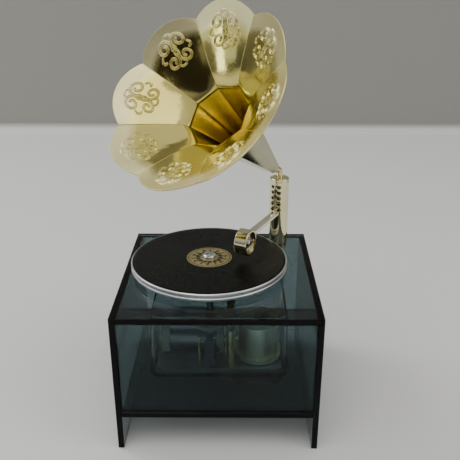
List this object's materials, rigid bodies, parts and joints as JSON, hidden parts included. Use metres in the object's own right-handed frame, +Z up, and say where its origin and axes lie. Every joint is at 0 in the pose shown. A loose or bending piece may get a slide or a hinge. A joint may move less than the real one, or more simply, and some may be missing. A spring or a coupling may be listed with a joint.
{
  "type": "wind up music box",
  "caption": "Tabletop wind-up music box: smoked acrylic case with a comb movement inside, a turning record, a swivelling tone arm post and a petalled brass horn.",
  "frame": {"origin": "centre of the overall outline on the surface that the case stands on", "axes": "+Z up; -Y towards the front panel of the case, the side the horn opens to; +X to the right of someone facing that panel"},
  "size_m": [0.0814, 0.0832, 0.1682],
  "materials": {
    "smoked_acrylic": "smoked grey-teal acrylic sheet, polished",
    "clear_cover": "clear moulded plastic",
    "bed_metal": "grey die casting, satin",
    "comb_steel": "ground steel",
    "screw_steel": "nickelled screws",
    "bracket_brass": "satin brass",
    "cylinder_metal": "tarnished cylinder, dull",
    "arbor_steel": "turned steel",
    "cream_nylon": "cream nylon",
    "pinion_brass": "cut brass",
    "fan_dark": "dark moulded plastic",
    "barrel_brass": "olive brass, satin",
    "spring_steel": "blued spring steel",
    "key_metal": "plated key, polished",
    "rim_chrome": "polished rim",
    "record_black": "black grooved disc",
    "label_gold": "gold foil label with black ornament",
    "label_screw": "nickelled pan head",
    "post_brass": "pale polished brass",
    "arm_brass": "pale polished brass",
    "sound_box_brass": "polished brass",
    "sound_box_face": "spun brass",
    "sound_box_hub": "bright hub",
    "horn_brass": "polished brass with pressed scrolls",
    "neck_brass": "pale polished brass",
    "elbow_brass": "pale polished brass"
  },
  "bodies": {
    "case": {"top_panel": "smoked_acrylic", "left_panel": "smoked_acrylic", "right_panel": "smoked_acrylic", "front_panel": "smoked_acrylic", "back_panel": "smoked_acrylic", "bottom_panel": "smoked_acrylic", "movement_cover": "clear_cover", "bedplate": "bed_metal", "movement_screws": "screw_steel", "comb": "comb_steel", "comb_base": "bed_metal", "comb_screws": "screw_steel", "cylinder_bearings": "bracket_brass", "idler_bearings": "bracket_brass", "governor_bracket": "bracket_brass", "bridge_pillars": "bracket_brass", "spindle_bridge": "bracket_brass", "bridge_screws": "screw_steel", "spindle_bush": "bracket_brass"},
    "cylinder": {"music_cylinder": "cylinder_metal", "cylinder_arbor": "arbor_steel", "cylinder_wheel_right": "cream_nylon", "cylinder_wheel_left": "cream_nylon", "drive_pinion": "pinion_brass"},
    "idler": {"idler_pinion": "cream_nylon", "worm_wheel": "cream_nylon"},
    "governor": {"governor_worm": "arbor_steel", "governor_fan": "fan_dark"},
    "barrel": {"spring_barrel": "barrel_brass", "barrel_cap": "barrel_brass", "mainspring": "spring_steel"},
    "key": {"winding_arbor": "arbor_steel", "winding_key": "key_metal"},
    "turntable": {"spindle": "arbor_steel", "crown_wheel": "cream_nylon", "platter": "rim_chrome", "record_disc": "record_black", "record_label": "label_gold", "record_screw": "label_screw"},
    "post": {"post_tube": "post_brass", "post_cap": "post_brass", "post_stud": "arbor_steel", "post_washer": "arbor_steel", "post_nut": "arbor_steel", "tone_arm": "arm_brass", "sound_box_case": "sound_box_brass", "sound_box_diaphragm": "sound_box_face", "sound_box_screw": "sound_box_hub"},
    "horn": {"horn_petal_1": "horn_brass", "horn_petal_2": "horn_brass", "horn_petal_3": "horn_brass", "horn_petal_4": "horn_brass", "horn_petal_5": "horn_brass", "horn_petal_6": "horn_brass", "horn_petal_7": "horn_brass", "horn_petal_8": "horn_brass", "horn_neck": "neck_brass", "horn_elbow": "elbow_brass"}
  },
  "joints": [
    {"name": "turntable_turn", "type": "hinge", "parent": "case", "child": "turntable", "pos_m": [-0.00348, 0.00456, 0.06], "axis": [0, 0, 1], "continuous": true},
    {"name": "cylinder_turn", "type": "hinge", "parent": "case", "child": "cylinder", "pos_m": [0.00068, 0.00453, 0.0256], "axis": [1, 0, 0], "continuous": true},
    {"name": "barrel_turn", "type": "hinge", "parent": "case", "child": "barrel", "pos_m": [0.01788, 0.00064, 0.03], "axis": [0, 0, 1], "continuous": true},
    {"name": "idler_turn", "type": "hinge", "parent": "case", "child": "idler", "pos_m": [0.00068, -0.00239, 0.0296], "axis": [1, 0, 0], "continuous": true},
    {"name": "fan_spin", "type": "hinge", "parent": "case", "child": "governor", "pos_m": [-0.00332, -0.00609, 0.025], "axis": [0, 0, 1], "continuous": true},
    {"name": "key_wind", "type": "hinge", "parent": "case", "child": "key", "pos_m": [0.01788, 0.00064, 0.01], "axis": [0, 0, 1], "continuous": true},
    {"name": "post_swivel", "type": "hinge", "parent": "case", "child": "post", "pos_m": [0.02758, 0.03324, 0.06], "axis": [0, 0, 1], "range_deg": [-28, 60]},
    {"name": "horn_swivel", "type": "hinge", "parent": "post", "child": "horn", "pos_m": [0.02758, 0.03324, 0.091], "axis": [0, 0, 1], "range_deg": [-60, 60]}
  ],
  "couplings": [
    {"joint": "cylinder_turn", "follows": "turntable_turn", "ratio": -0.8},
    {"joint": "barrel_turn", "follows": "turntable_turn", "ratio": 0.22609},
    {"joint": "idler_turn", "follows": "turntable_turn", "ratio": 2.4},
    {"joint": "fan_spin", "follows": "turntable_turn", "ratio": 28.8}
  ]
}
